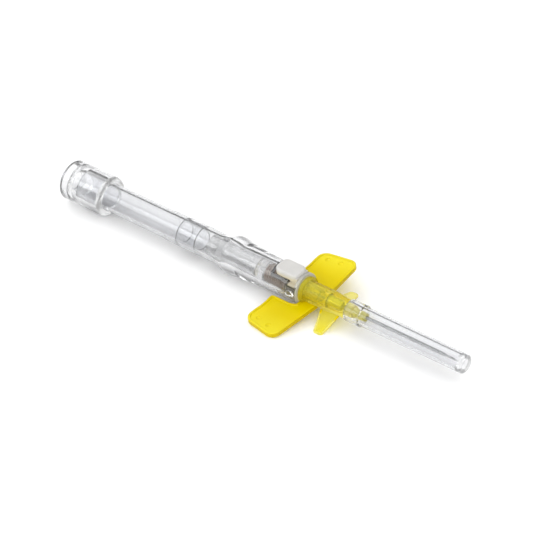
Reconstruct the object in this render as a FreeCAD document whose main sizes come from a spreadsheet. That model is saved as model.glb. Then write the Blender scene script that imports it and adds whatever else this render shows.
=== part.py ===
import FreeCAD, Part
import math
import os

import Sketcher

# Winged, push-button retracting cannula with its needle cover on, lying on its end cap and hub foot.
# Millimetres. +X points along the needle towards the cover, +Z up out of the button, and the origin is
# the middle of the flat foot under the catheter hub.

SIZES = {
    # end cap: a thick plug with a socket for the barrel, an end wall and a recess behind it
    "cap_radius": 4.2,
    "cap_length": 10.8,
    "cap_chamfer": 0.8,
    "cap_socket_depth": 6.7,
    "cap_wall": 0.8,
    "cap_recess_radius": 2.66,
    "cap_recess_depth": 1.5,
    # barrel: the clear tube that the needle hub is thrown back into
    "barrel_radius": 2.91,
    "barrel_bore_radius": 2.2,
    "barrel_exposed": 20.2,
    "spigot_radius": 2.62,
    "spigot_length": 4.6,
    "press_gap": 0.02,
    # grip: the front housing, with a flared stop for the fingers and the male luer nose
    "grip_length": 31.3,
    "grip_rear_radius": 3.1,
    "grip_front_radius": 3.32,
    "flare_radius": 4.1,
    "flare_setback": 17.4,
    "flare_land": 1.2,
    "flare_rise": 2.0,
    "flare_fall": 4.2,
    "grip_bore_radius": 2.25,
    "shoulder_length": 0.55,
    "shoulder_bore_radius": 1.4,
    "slot_length": 1.95,
    "slot_radius": 2.75,
    "window_length": 6.3,
    "window_half_width": 2.05,
    "window_floor": 1.2,
    "ring_length": 0.6,
    "luer_length": 4.0,
    "luer_radius": 1.36,
    "luer_bore_radius": 0.75,
    # needle hub: flash chamber, flange that the spring pushes on, and latched stem
    "carriage_length": 14.95,
    "carriage_gap": 0.08,
    "chamber_radius": 1.5,
    "chamber_depth": 12.6,
    "stem_radius": 1.2,
    "stem_head_length": 0.25,
    "groove_radius": 0.8,
    "plug_length": 1.8,
    # needle
    "needle_radius": 0.23,
    "needle_bore_radius": 0.12,
    "needle_root": 0.3,
    "needle_reach": 2.8,
    "bevel_length": 1.7,
    "needle_point": 0.215,
    # spring, held compressed between the shoulder and the flange
    "spring_space": 5.95,
    "spring_radius": 2.05,
    "wire_radius": 0.23,
    "spring_turns": 9.0,
    "coil_steps": 8.0,
    "spring_end_gap": 0.02,
    # button: thumb pad over a keyhole plate
    "press_travel": 0.95,
    "pad_length": 5.6,
    "pad_half_width": 1.8,
    "pad_top": 3.95,
    "pad_thickness": 0.85,
    "pad_skirt": 0.5,
    "pad_skirt_wall": 0.4,
    "pad_corner": 1.45,
    "pad_overhang": 0.1,
    "plate_gap": 0.05,
    "plate_side_gap": 0.12,
    "plate_shoulder": 1.9,
    "plate_neck": 1.65,
    "keyhole_gap": 0.05,
    # catheter hub, one moulding with its wings, fins, keel and foot
    "foot_setback": 1.45,
    "foot_length": 2.5,
    "foot_half_width": 1.0,
    "ring_gap": 0.05,
    "hub_length": 10.75,
    "rim_radius": 2.8,
    "rim_length": 0.75,
    "body_radius": 2.2,
    "body_length": 6.55,
    "neck_radius": 1.95,
    "seat_radius": 1.36,
    "seat_length": 1.5,
    "nose_radius": 0.92,
    "nose_length": 4.4,
    "luer_gap": 0.03,
    "luer_socket_depth": 4.7,
    "eyelet_bore_radius": 1.25,
    "eyelet_bore_length": 1.2,
    "keel_width": 1.4,
    "keel_root": 0.5,
    "keel_rear_depth": 3.45,
    "keel_front_depth": 2.36,
    # wings
    "wing_top_drop": 1.25,
    "wing_thickness": 0.65,
    "wing_front_root": 3.99,
    "wing_front_tip": 2.99,
    "wing_rear": 5.9,
    "wing_half_span_front": 13.45,
    "wing_half_span_rear": 12.0,
    "wing_inner": 3.75,
    "wing_root": 1.0,
    "wing_heel": 0.75,
    "wing_heel_width": 3.2,
    "wing_front_corner": 2.0,
    "wing_rear_corner": 2.3,
    "wing_inner_corner": 0.5,
    "wing_rim_width": 0.5,
    "wing_rim_height": 0.14,
    # fins
    "fin_root_rear": 5.3,
    "fin_root_front": 9.6,
    "fin_tip_rear": 7.05,
    "fin_tip_front": 8.95,
    "fin_root": 0.5,
    "fin_reach_far": 5.97,
    "fin_reach_near": 6.66,
    "fin_thickness": 0.35,
    "fin_drop": 1.05,
    "fin_corner": 0.55,
    "fin_corner_radius": 0.6,
    "fin_droop_far": 5.0,
    "fin_droop_near": 20.7,
    # catheter tube and the metal wedge that holds it in the hub
    "catheter_radius": 0.36,
    "catheter_bore_radius": 0.27,
    "catheter_reach": 19.0,
    "tip_length": 0.4,
    "tip_radius": 0.29,
    "wedge_length": 3.6,
    "wedge_radius": 0.82,
    "wedge_bore_radius": 0.72,
    "wedge_flange_radius": 1.2,
    "wedge_flange_length": 0.2,
    "tube_wall_flared": 0.09,
    "tube_gap": 0.01,
    "neck_down": 0.35,
    # needle cover
    "cover_gap": 0.1,
    "cover_length": 28.0,
    "cover_collar_radius": 2.25,
    "cover_collar_length": 3.6,
    "cover_radius": 1.97,
    "cover_seat_gap": 0.03,
    "cover_end_wall": 1.1,
}

# Stations along X and radii that follow from the sizes. Each may use the ones above it.
PLACES = {
    "axis_height": "Sizes.cap_radius",
    # catheter hub
    "hub_rear": "-Sizes.foot_setback",
    "rim_front": "hub_rear + Sizes.rim_length",
    "body_front": "hub_rear + Sizes.body_length",
    "hub_face": "hub_rear + Sizes.hub_length",
    "seat_front": "hub_face + Sizes.seat_length",
    "nose_end": "hub_face + Sizes.nose_length",
    "socket_front": "hub_rear + Sizes.luer_socket_depth",
    "luer_socket_radius": "Sizes.luer_radius + Sizes.luer_gap",
    "foot_rear": "hub_rear + 0.2",
    "foot_front": "foot_rear + Sizes.foot_length",
    "foot_bottom": "-axis_height",
    "foot_height": "axis_height - Sizes.body_radius + 0.2",
    # wedge and catheter tube
    "sleeve_rear": "socket_front + Sizes.eyelet_bore_length",
    "wedge_rear": "sleeve_rear - Sizes.wedge_flange_length",
    "wedge_front": "wedge_rear + Sizes.wedge_length",
    "tube_rear": "sleeve_rear + Sizes.tube_gap",
    "neck_down_rear": "wedge_front + Sizes.tube_gap",
    "neck_down_front": "neck_down_rear + Sizes.neck_down",
    "flared_bore": "Sizes.wedge_radius + Sizes.tube_gap",
    "flared_radius": "flared_bore + Sizes.tube_wall_flared",
    "catheter_end": "nose_end + Sizes.catheter_reach",
    "taper_start": "catheter_end - Sizes.tip_length",
    "pocket_radius": "flared_radius + Sizes.tube_gap",
    "hub_bore_radius": "Sizes.catheter_radius + Sizes.tube_gap",
    "needle_end": "catheter_end + Sizes.needle_reach",
    "needle_low": "-Sizes.needle_point",
    "bevel_start": "needle_end - Sizes.bevel_length",
    "bevel_ahead": "needle_end + 0.5",
    "bevel_clear": "Sizes.needle_radius + 0.5",
    "bevel_width": "4 * Sizes.needle_radius",
    # cover
    "cover_rear": "hub_face + Sizes.cover_gap",
    "cover_collar_front": "cover_rear + Sizes.cover_collar_length",
    "cover_front": "cover_rear + Sizes.cover_length",
    "cover_bore_end": "cover_front - Sizes.cover_end_wall",
    "cover_bore_radius": "Sizes.seat_radius + Sizes.cover_seat_gap",
    # grip
    "grip_front": "hub_rear - Sizes.ring_gap",
    "luer_front": "grip_front + Sizes.luer_length",
    "slot_front": "grip_front - Sizes.ring_length",
    "slot_rear": "slot_front - Sizes.slot_length",
    "shoulder_rear": "slot_rear - Sizes.shoulder_length",
    "window_rear": "slot_front - Sizes.window_length",
    "cut_top": "Sizes.grip_front_radius + 1",
    "grip_rear": "grip_front - Sizes.grip_length",
    "flare_front": "grip_front - Sizes.flare_setback",
    "flare_rear": "flare_front - Sizes.flare_land",
    "flare_foot": "flare_rear - Sizes.flare_rise",
    "flare_toe": "flare_front + Sizes.flare_fall",
    # barrel
    "barrel_front": "grip_rear + Sizes.spigot_length",
    "cap_front": "grip_rear - Sizes.barrel_exposed",
    "barrel_rear": "cap_front - Sizes.cap_socket_depth",
    "socket_end": "barrel_front + Sizes.press_gap",
    "socket_radius": "Sizes.spigot_radius + Sizes.press_gap",
    # cap
    "cap_rear": "cap_front - Sizes.cap_length",
    "recess_front": "cap_rear + Sizes.cap_recess_depth",
    "wall_front": "recess_front + Sizes.cap_wall",
    "cap_shoulder": "cap_front - Sizes.cap_chamfer",
    "cap_face_radius": "Sizes.cap_radius - Sizes.cap_chamfer",
    "cap_socket_radius": "Sizes.barrel_radius + Sizes.press_gap",
    "cap_socket_end": "barrel_rear - Sizes.press_gap",
    # needle hub and spring
    "flange_front": "shoulder_rear - Sizes.spring_space",
    "carriage_rear": "flange_front - Sizes.carriage_length",
    "carriage_radius": "Sizes.barrel_bore_radius - Sizes.carriage_gap",
    "chamber_front": "carriage_rear + Sizes.chamber_depth",
    "plate_rear": "slot_rear + Sizes.plate_gap",
    "plate_front": "slot_front - Sizes.plate_gap",
    "plate_length": "plate_front - plate_rear",
    "groove_rear": "plate_rear - Sizes.plate_gap",
    "groove_front": "plate_front + Sizes.plate_gap",
    "stem_front": "groove_front + Sizes.stem_head_length",
    "plug_front": "carriage_rear + Sizes.plug_length",
    "needle_rear": "chamber_front - Sizes.needle_root",
    "needle_seat_radius": "Sizes.needle_radius + 0.01",
    "plug_radius": "Sizes.chamber_radius - 0.01",
    "bore_step": "stem_front + 0.05",
    "coil_radius": "Sizes.spring_radius - Sizes.wire_radius",
    "coil_start": "flange_front + Sizes.wire_radius + Sizes.spring_end_gap",
    "coil_height": "Sizes.spring_space - 2 * Sizes.wire_radius - 2 * Sizes.spring_end_gap",
    # button
    "pad_front": "slot_front - Sizes.pad_overhang",
    "pad_rear": "pad_front - Sizes.pad_length",
    "pad_bottom": "Sizes.pad_top - Sizes.pad_thickness",
    "skirt_bottom": "pad_bottom - Sizes.pad_skirt",
    "pad_height": "Sizes.pad_top - skirt_bottom",
    "channel_half_width": "Sizes.pad_half_width - Sizes.pad_skirt_wall",
    "plate_radius": "Sizes.slot_radius - Sizes.plate_side_gap",
    "plate_centre": "Sizes.press_travel + Sizes.plate_gap",
    "keyhole_narrow": "Sizes.groove_radius + Sizes.keyhole_gap",
    "keyhole_wide": "Sizes.stem_radius + 2 * Sizes.keyhole_gap",
    "plate_bottom": "plate_centre - plate_radius",
    "neck_top": "pad_bottom + 0.3",
    "channel_floor": "skirt_bottom - 0.5",
    # wings and fins
    "wing_top": "-Sizes.wing_top_drop",
    "wing_bottom": "wing_top - Sizes.wing_thickness",
    "wing_floor": "wing_top - Sizes.wing_rim_height",
    "wing_front_inner": "hub_rear + Sizes.wing_front_root",
    "wing_front_outer": "hub_rear + Sizes.wing_front_tip",
    "wing_rear_edge": "hub_rear - Sizes.wing_rear",
    "heel": "hub_rear - Sizes.wing_heel",
    "rim_front_inner": "wing_front_inner - Sizes.wing_rim_width - 0.15",
    "rim_front_outer": "wing_front_outer - Sizes.wing_rim_width",
    "rim_rear_edge": "wing_rear_edge + Sizes.wing_rim_width",
    "rim_span_front": "Sizes.wing_half_span_front - Sizes.wing_rim_width",
    "rim_span_rear": "Sizes.wing_half_span_rear - Sizes.wing_rim_width",
    "rim_inner": "Sizes.wing_inner + Sizes.wing_rim_width",
    "rim_front_corner": "Sizes.wing_front_corner - Sizes.wing_rim_width",
    "rim_rear_corner": "Sizes.wing_rear_corner - Sizes.wing_rim_width",
    "fin_root_back": "hub_rear + Sizes.fin_root_rear",
    "fin_root_ahead": "hub_rear + Sizes.fin_root_front",
    "fin_tip_back": "hub_rear + Sizes.fin_tip_rear",
    "fin_tip_ahead": "hub_rear + Sizes.fin_tip_front",
    "fin_height": "-Sizes.fin_drop - Sizes.fin_thickness",
    "fin_corner_back": "fin_tip_back + Sizes.fin_corner",
    "fin_corner_ahead": "fin_tip_ahead - Sizes.fin_corner",
    "fin_shoulder_far": "Sizes.fin_reach_far - Sizes.fin_corner",
    "fin_shoulder_near": "Sizes.fin_reach_near - Sizes.fin_corner",
}

doc = FreeCAD.newDocument("cannula")


def fillSheet(name, cells):
    sheet = doc.addObject("Spreadsheet::Sheet", name)
    for row, (alias, content) in enumerate(cells.items(), start=1):
        sheet.set(f"A{row}", alias)
        sheet.set(f"B{row}", content)
        sheet.setAlias(f"B{row}", alias)
    doc.recompute()
    return sheet


sizes = fillSheet("Sizes", {alias: str(number) for alias, number in SIZES.items()})
places = fillSheet("Places", {alias: "=" + formula for alias, formula in PLACES.items()})


# The number and the expression behind a name, which may start with a minus sign
def number(name):
    key = name.lstrip("-")
    found = sizes.get(key) if key in SIZES else places.get(key)
    return -found if name.startswith("-") else found


def expression(name):
    key = name.lstrip("-")
    sheet = "Sizes" if key in SIZES else "Places"
    sign = "-" if name.startswith("-") else ""
    return f"{sign}{sheet}.{key}"


def bind(thing, path, name):
    thing.setExpression(path, expression(name))


def newBody(label):
    body = doc.addObject("PartDesign::Body", label)
    body.Label = label
    body.Placement = FreeCAD.Placement(FreeCAD.Vector(0, 0, number("axis_height")), FreeCAD.Rotation())
    bind(body, "Placement.Base.z", "axis_height")
    return body


def originPlane(body, role):
    return [feature for feature in body.Origin.OriginFeatures if feature.Role == role][0]


# One coordinate of a sketch point, tied to the sheet, or to the sketch's own axis where it is zero
def placePoint(sketch, curve, end, along, name):
    if name == "0":
        axis = -2 if along == "X" else -1
        sketch.addConstraint(Sketcher.Constraint("PointOnObject", curve, end, axis))
        return
    kind = "DistanceX" if along == "X" else "DistanceY"
    index = sketch.addConstraint(Sketcher.Constraint(kind, -1, 1, curve, end, number(name)))
    bind(sketch, f"Constraints[{index}]", name)


def coordinate(name):
    return 0.0 if name == "0" else number(name)


def newSketch(body, name, role, lift=None):
    sketch = body.newObject("Sketcher::SketchObject", name)
    sketch.AttachmentSupport = [(originPlane(body, role), "")]
    sketch.MapMode = "FlatFace"
    if lift is not None:
        sketch.AttachmentOffset = FreeCAD.Placement(FreeCAD.Vector(0, 0, number(lift)), FreeCAD.Rotation())
        bind(sketch, "AttachmentOffset.Base.z", lift)
    return sketch


# A closed outline through named corners. A corner may end in a radius and a side, and the stretch from
# it to the next corner is then an arc that bulges to that side: 1 is left of the way round, -1 right.
def drawOutline(sketch, corners):
    count = len(corners)
    spots = [FreeCAD.Vector(coordinate(corner[0]), coordinate(corner[1]), 0) for corner in corners]
    starts = []
    ends = []
    for index, corner in enumerate(corners):
        here = spots[index]
        there = spots[(index + 1) % count]
        if len(corner) == 2:
            sketch.addGeometry(Part.LineSegment(here, there), False)
            starts.append(1)
            ends.append(2)
            continue
        side = corner[3]
        chord = there - here
        left = FreeCAD.Vector(-chord.y, chord.x, 0).normalize()
        radius = number(corner[2])
        rise = radius - math.sqrt(radius ** 2 - (chord.Length / 2) ** 2)
        middle = (here + there) * 0.5 + left * (rise * side)
        arc = Part.Arc(there, middle, here) if side > 0 else Part.Arc(here, middle, there)
        sketch.addGeometry(arc, False)
        starts.append(2 if side > 0 else 1)
        ends.append(1 if side > 0 else 2)
    for index in range(count):
        after = (index + 1) % count
        sketch.addConstraint(Sketcher.Constraint("Coincident", index, ends[index], after, starts[after]))
    for index, corner in enumerate(corners):
        placePoint(sketch, index, starts[index], "X", corner[0])
        placePoint(sketch, index, starts[index], "Y", corner[1])
        if len(corner) == 4:
            radius = sketch.addConstraint(Sketcher.Constraint("Radius", index, number(corner[2])))
            bind(sketch, f"Constraints[{radius}]", corner[2])
    return sketch


def drawCircle(sketch, centreX, centreY, radius):
    centre = FreeCAD.Vector(coordinate(centreX), coordinate(centreY), 0)
    curve = sketch.addGeometry(Part.Circle(centre, FreeCAD.Vector(0, 0, 1), number(radius)), False)
    placePoint(sketch, curve, 3, "X", centreX)
    placePoint(sketch, curve, 3, "Y", centreY)
    index = sketch.addConstraint(Sketcher.Constraint("Radius", curve, number(radius)))
    bind(sketch, f"Constraints[{index}]", radius)
    return sketch


# Turned about the needle's axis: a profile in the upright plane, corners as (station, radius)
def turn(body, name, corners, kind="PartDesign::Revolution"):
    sketch = drawOutline(newSketch(body, name + "_profile", "XZ_Plane"), corners)
    feature = body.newObject(kind, name)
    feature.Profile = sketch
    feature.ReferenceAxis = (sketch, ["H_Axis"])
    feature.Angle = 360
    doc.recompute()
    return feature


def extrude(body, name, sketch, length, kind="PartDesign::Pad", symmetric=False):
    feature = body.newObject(kind, name)
    feature.Profile = sketch
    feature.Length = number(length)
    bind(feature, "Length", length)
    feature.SideType = "Symmetric" if symmetric else "One side"
    doc.recompute()
    return feature


def roundEdges(body, name, edges, radius):
    base = body.Tip
    fillet = body.newObject("PartDesign::Fillet", name)
    fillet.Base = (base, edges)
    fillet.Radius = number(radius)
    bind(fillet, "Radius", radius)
    doc.recompute()
    return fillet


# Names of the upright straight edges at given places of the plan
def uprightsAt(body, spots, near=0.01):
    names = []
    for index, edge in enumerate(body.Tip.Shape.Edges, start=1):
        if len(edge.Vertexes) != 2 or not isinstance(edge.Curve, Part.Line):
            continue
        first = edge.Vertexes[0].Point
        last = edge.Vertexes[1].Point
        if math.hypot(first.x - last.x, first.y - last.y) > near:
            continue
        if any(math.hypot(first.x - x, first.y - y) < near for x, y in spots):
            names.append(f"Edge{index}")
    return names


def makeEndCap():
    body = newBody("end_cap")
    turn(body, "cap", [
        ("cap_rear", "cap_recess_radius"),
        ("cap_rear", "cap_radius"),
        ("cap_shoulder", "cap_radius"),
        ("cap_front", "cap_face_radius"),
        ("cap_front", "cap_socket_radius"),
        ("cap_socket_end", "cap_socket_radius"),
        ("cap_socket_end", "barrel_bore_radius"),
        ("wall_front", "barrel_bore_radius"),
        ("wall_front", "0"),
        ("recess_front", "0"),
        ("recess_front", "cap_recess_radius"),
    ])
    return body


# The spigot at the front is pressed into the grip's socket
def makeBarrel():
    body = newBody("barrel")
    turn(body, "tube", [
        ("barrel_rear", "barrel_bore_radius"),
        ("barrel_rear", "barrel_radius"),
        ("grip_rear", "barrel_radius"),
        ("grip_rear", "spigot_radius"),
        ("barrel_front", "spigot_radius"),
        ("barrel_front", "barrel_bore_radius"),
    ])
    return body


# A slot across the housing for the keyhole plate, and the button's window above it
def makeGrip():
    body = newBody("grip")
    turn(body, "housing", [
        ("grip_rear", "socket_radius"),
        ("grip_rear", "grip_rear_radius"),
        ("flare_foot", "grip_rear_radius"),
        ("flare_rear", "flare_radius"),
        ("flare_front", "flare_radius"),
        ("flare_toe", "grip_front_radius"),
        ("grip_front", "grip_front_radius"),
        ("grip_front", "luer_radius"),
        ("luer_front", "luer_radius"),
        ("luer_front", "luer_bore_radius"),
        ("bore_step", "luer_bore_radius"),
        ("bore_step", "shoulder_bore_radius"),
        ("shoulder_rear", "shoulder_bore_radius"),
        ("shoulder_rear", "grip_bore_radius"),
        ("socket_end", "grip_bore_radius"),
        ("socket_end", "socket_radius"),
    ])
    slot = drawOutline(newSketch(body, "slot_profile", "YZ_Plane", "slot_front"), [
        ("-slot_radius", "0", "slot_radius", -1),
        ("0", "-slot_radius", "slot_radius", -1),
        ("slot_radius", "0"),
        ("slot_radius", "cut_top"),
        ("-slot_radius", "cut_top"),
    ])
    extrude(body, "slot", slot, "slot_length", "PartDesign::Pocket")
    window = drawOutline(newSketch(body, "window_profile", "YZ_Plane", "slot_front"), [
        ("-window_half_width", "window_floor"),
        ("window_half_width", "window_floor"),
        ("window_half_width", "cut_top"),
        ("-window_half_width", "cut_top"),
    ])
    extrude(body, "window", window, "window_length", "PartDesign::Pocket")
    return body


def makeNeedleHub():
    body = newBody("needle_hub")
    turn(body, "carriage", [
        ("carriage_rear", "chamber_radius"),
        ("carriage_rear", "carriage_radius"),
        ("flange_front", "carriage_radius"),
        ("flange_front", "stem_radius"),
        ("groove_rear", "stem_radius"),
        ("groove_rear", "groove_radius"),
        ("groove_front", "groove_radius"),
        ("groove_front", "stem_radius"),
        ("stem_front", "stem_radius"),
        ("stem_front", "needle_seat_radius"),
        ("chamber_front", "needle_seat_radius"),
        ("chamber_front", "chamber_radius"),
    ])
    return body


def makeFlashPlug():
    body = newBody("flash_plug")
    turn(body, "plug", [
        ("carriage_rear", "0"),
        ("carriage_rear", "plug_radius"),
        ("plug_front", "plug_radius"),
        ("plug_front", "0"),
    ])
    return body


def makeNeedle():
    body = newBody("needle")
    turn(body, "needle_tube", [
        ("needle_rear", "needle_bore_radius"),
        ("needle_rear", "needle_radius"),
        ("needle_end", "needle_radius"),
        ("needle_end", "needle_bore_radius"),
    ])
    bevel = drawOutline(newSketch(body, "bevel_profile", "XZ_Plane"), [
        ("bevel_start", "bevel_clear"),
        ("bevel_start", "needle_radius"),
        ("needle_end", "needle_low"),
        ("bevel_ahead", "needle_low"),
        ("bevel_ahead", "bevel_clear"),
    ])
    extrude(body, "bevel", bevel, "bevel_width", "PartDesign::Pocket", symmetric=True)
    return body


# Wound as straight steps of a six-sided wire, joined section to section
def makeSpring():
    steps = round(number("coil_steps"))
    count = round(number("spring_turns") * steps)
    wire = number("wire_radius")
    sections = []
    for index in range(count + 1):
        turned = 2 * math.pi * index / steps
        outward = FreeCAD.Vector(0, math.cos(turned), math.sin(turned))
        along = FreeCAD.Vector(1, 0, 0)
        centre = along * (number("coil_start") + number("coil_height") * index / count)
        centre += outward * number("coil_radius")
        centre.z += number("axis_height")
        corners = [centre + outward * (wire * math.cos(math.pi * k / 3)) + along * (wire * math.sin(math.pi * k / 3))
                   for k in range(6)]
        sections.append(Part.makePolygon(corners + corners[:1]))
    spring = doc.addObject("Part::Feature", "spring")
    spring.Label = "spring"
    spring.Shape = Part.makeLoft(sections, True, True)
    return spring


# Thumb pad with two skirts, hung on the keyhole plate that holds the needle hub's stem
def makeButton():
    body = newBody("button")
    pad = drawOutline(newSketch(body, "pad_profile", "XY_Plane", "skirt_bottom"), [
        ("pad_rear", "-pad_half_width"),
        ("pad_front", "-pad_half_width"),
        ("pad_front", "pad_half_width"),
        ("pad_rear", "pad_half_width"),
    ])
    extrude(body, "pad", pad, "pad_height")
    rear = number("pad_rear")
    front = number("pad_front")
    side = number("pad_half_width")
    corners = uprightsAt(body, [(rear, -side), (rear, side), (front, -side), (front, side)])
    roundEdges(body, "pad_corners", corners, "pad_corner")
    channel = drawOutline(newSketch(body, "channel_profile", "YZ_Plane", "pad_front"), [
        ("-channel_half_width", "channel_floor"),
        ("channel_half_width", "channel_floor"),
        ("channel_half_width", "pad_bottom"),
        ("-channel_half_width", "pad_bottom"),
    ])
    extrude(body, "channel", channel, "pad_length", "PartDesign::Pocket")
    plate = drawOutline(newSketch(body, "plate_profile", "YZ_Plane", "plate_rear"), [
        ("-plate_radius", "plate_centre", "plate_radius", -1),
        ("0", "plate_bottom", "plate_radius", -1),
        ("plate_radius", "plate_centre"),
        ("plate_radius", "plate_shoulder"),
        ("plate_neck", "plate_shoulder"),
        ("plate_neck", "neck_top"),
        ("-plate_neck", "neck_top"),
        ("-plate_neck", "plate_shoulder"),
        ("-plate_radius", "plate_shoulder"),
    ])
    extrude(body, "plate", plate, "plate_length")
    narrow = drawCircle(newSketch(body, "narrow_profile", "YZ_Plane", "plate_front"), "0", "0", "keyhole_narrow")
    extrude(body, "keyhole_narrow", narrow, "plate_length", "PartDesign::Pocket")
    wide = drawCircle(newSketch(body, "wide_profile", "YZ_Plane", "plate_front"), "0", "press_travel",
                      "keyhole_wide")
    extrude(body, "keyhole_wide", wide, "plate_length", "PartDesign::Pocket")
    return body


def wingCorners(sign):
    return [
        ("wing_front_inner", sign + "wing_root"),
        ("wing_front_outer", sign + "wing_half_span_front"),
        ("wing_rear_edge", sign + "wing_half_span_rear"),
        ("wing_rear_edge", sign + "wing_inner"),
        ("heel", sign + "wing_inner"),
        ("hub_rear", sign + "wing_heel_width"),
        ("hub_rear", sign + "wing_root"),
    ]


def recessCorners(sign):
    return [
        ("rim_front_inner", sign + "rim_inner"),
        ("rim_front_outer", sign + "rim_span_front"),
        ("rim_rear_edge", sign + "rim_span_rear"),
        ("rim_rear_edge", sign + "rim_inner"),
    ]


def spotsOf(corners, wanted):
    return [(number(corners[index][0]), number(corners[index][1])) for index in wanted]


# One finger wing: a slab with rounded corners, a recessed face inside a raised rim
def addWing(body, name, sign):
    outline = wingCorners(sign)
    slab = drawOutline(newSketch(body, name + "_profile", "XY_Plane", "wing_bottom"), outline)
    extrude(body, name, slab, "wing_thickness")
    inner = recessCorners(sign)
    recess = drawOutline(newSketch(body, name + "_recess_profile", "XY_Plane", "wing_top"), inner)
    extrude(body, name + "_recess", recess, "wing_rim_height", "PartDesign::Pocket")
    roundEdges(body, name + "_recess_front", uprightsAt(body, spotsOf(inner, [1])), "rim_front_corner")
    roundEdges(body, name + "_recess_rear", uprightsAt(body, spotsOf(inner, [2])), "rim_rear_corner")
    roundEdges(body, name + "_front_corner", uprightsAt(body, spotsOf(outline, [1])), "wing_front_corner")
    roundEdges(body, name + "_rear_corner", uprightsAt(body, spotsOf(outline, [2])), "wing_rear_corner")
    roundEdges(body, name + "_inner_corners", uprightsAt(body, spotsOf(outline, [3, 4])), "wing_inner_corner")


def tiltedSketch(body, name, sign, droop):
    sketch = newSketch(body, name, "XY_Plane", "fin_height")
    angle = number(droop) if sign == "-" else -number(droop)
    lean = FreeCAD.Rotation(FreeCAD.Vector(1, 0, 0), angle)
    sketch.AttachmentOffset = FreeCAD.Placement(FreeCAD.Vector(0, 0, number("fin_height")), lean)
    bind(sketch, "AttachmentOffset.Rotation.Angle", droop)
    return sketch


# One small fin: the one on the near side hangs lower, so each has its own droop and reach
def addFin(body, name, sign, side):
    reach = sign + "fin_reach_" + side
    shoulder = sign + "fin_shoulder_" + side
    droop = "fin_droop_" + side
    bulge = 1 if sign == "" else -1
    blade = drawOutline(tiltedSketch(body, name + "_profile", sign, droop), [
        ("fin_root_back", sign + "fin_root"),
        ("fin_tip_back", shoulder, "fin_corner_radius", bulge),
        ("fin_corner_back", reach),
        ("fin_corner_ahead", reach, "fin_corner_radius", bulge),
        ("fin_tip_ahead", shoulder),
        ("fin_root_ahead", sign + "fin_root"),
    ])
    extrude(body, name, blade, "fin_thickness")


def makeCatheterHub():
    body = newBody("catheter_hub")
    turn(body, "hub", [
        ("hub_rear", "0"),
        ("hub_rear", "rim_radius"),
        ("rim_front", "rim_radius"),
        ("rim_front", "body_radius"),
        ("body_front", "body_radius"),
        ("hub_face", "neck_radius"),
        ("hub_face", "seat_radius"),
        ("seat_front", "seat_radius"),
        ("seat_front", "nose_radius"),
        ("nose_end", "nose_radius"),
        ("nose_end", "0"),
    ])
    addWing(body, "far_wing", "")
    addWing(body, "near_wing", "-")
    addFin(body, "far_fin", "", "far")
    addFin(body, "near_fin", "-", "near")
    keel = drawOutline(newSketch(body, "keel_profile", "XZ_Plane"), [
        ("foot_rear", "-keel_root"),
        ("foot_rear", "-keel_rear_depth"),
        ("hub_face", "-keel_front_depth"),
        ("hub_face", "-keel_root"),
    ])
    extrude(body, "keel", keel, "keel_width", symmetric=True)
    foot = drawOutline(newSketch(body, "foot_profile", "XY_Plane", "foot_bottom"), [
        ("foot_rear", "-foot_half_width"),
        ("foot_front", "-foot_half_width"),
        ("foot_front", "foot_half_width"),
        ("foot_rear", "foot_half_width"),
    ])
    extrude(body, "foot", foot, "foot_height")
    turn(body, "bore", [
        ("hub_rear", "0"),
        ("hub_rear", "luer_socket_radius"),
        ("socket_front", "luer_socket_radius"),
        ("socket_front", "eyelet_bore_radius"),
        ("sleeve_rear", "eyelet_bore_radius"),
        ("sleeve_rear", "pocket_radius"),
        ("neck_down_rear", "pocket_radius"),
        ("neck_down_front", "hub_bore_radius"),
        ("nose_end", "hub_bore_radius"),
        ("nose_end", "0"),
    ], "PartDesign::Groove")
    return body


def makeWedge():
    body = newBody("catheter_wedge")
    turn(body, "eyelet", [
        ("wedge_rear", "wedge_bore_radius"),
        ("wedge_rear", "wedge_flange_radius"),
        ("sleeve_rear", "wedge_flange_radius"),
        ("sleeve_rear", "wedge_radius"),
        ("wedge_front", "wedge_radius"),
        ("wedge_front", "wedge_bore_radius"),
    ])
    return body


def makeCatheter():
    body = newBody("catheter_tube")
    turn(body, "tube", [
        ("tube_rear", "flared_bore"),
        ("tube_rear", "flared_radius"),
        ("neck_down_rear", "flared_radius"),
        ("neck_down_front", "catheter_radius"),
        ("taper_start", "catheter_radius"),
        ("catheter_end", "tip_radius"),
        ("catheter_end", "catheter_bore_radius"),
        ("neck_down_front", "catheter_bore_radius"),
        ("neck_down_rear", "flared_bore"),
    ])
    return body


def makeCover():
    body = newBody("needle_cover")
    turn(body, "sheath", [
        ("cover_rear", "cover_bore_radius"),
        ("cover_rear", "cover_collar_radius"),
        ("cover_collar_front", "cover_collar_radius"),
        ("cover_collar_front", "cover_radius"),
        ("cover_front", "cover_radius"),
        ("cover_front", "0"),
        ("cover_bore_end", "0"),
        ("cover_bore_end", "cover_bore_radius"),
    ])
    return body


os.makedirs("parts", exist_ok=True)

pieces = [
    makeEndCap(),
    makeBarrel(),
    makeGrip(),
    makeButton(),
    makeNeedleHub(),
    makeFlashPlug(),
    makeNeedle(),
    makeSpring(),
    makeCatheterHub(),
    makeWedge(),
    makeCatheter(),
    makeCover(),
]
doc.recompute()

for thing in doc.Objects:
    if "Invalid" in thing.State or "Error" in thing.State:
        raise RuntimeError(f"{thing.Label} did not recompute: {thing.State}")

for piece in pieces:
    shape = piece.Shape
    if shape.isNull() or not shape.isValid() or len(shape.Solids) != 1:
        raise RuntimeError(f"{piece.Label} is not one valid solid")
    shape.exportStep(f"parts/{piece.Label}.step")
    box = shape.BoundBox
    print(piece.Label, [round(value, 2) for value in (box.XMin, box.XMax, box.YMin, box.YMax, box.ZMin, box.ZMax)])
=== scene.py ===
import math

import bmesh
import bpy
from mathutils import Matrix, Vector


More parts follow.
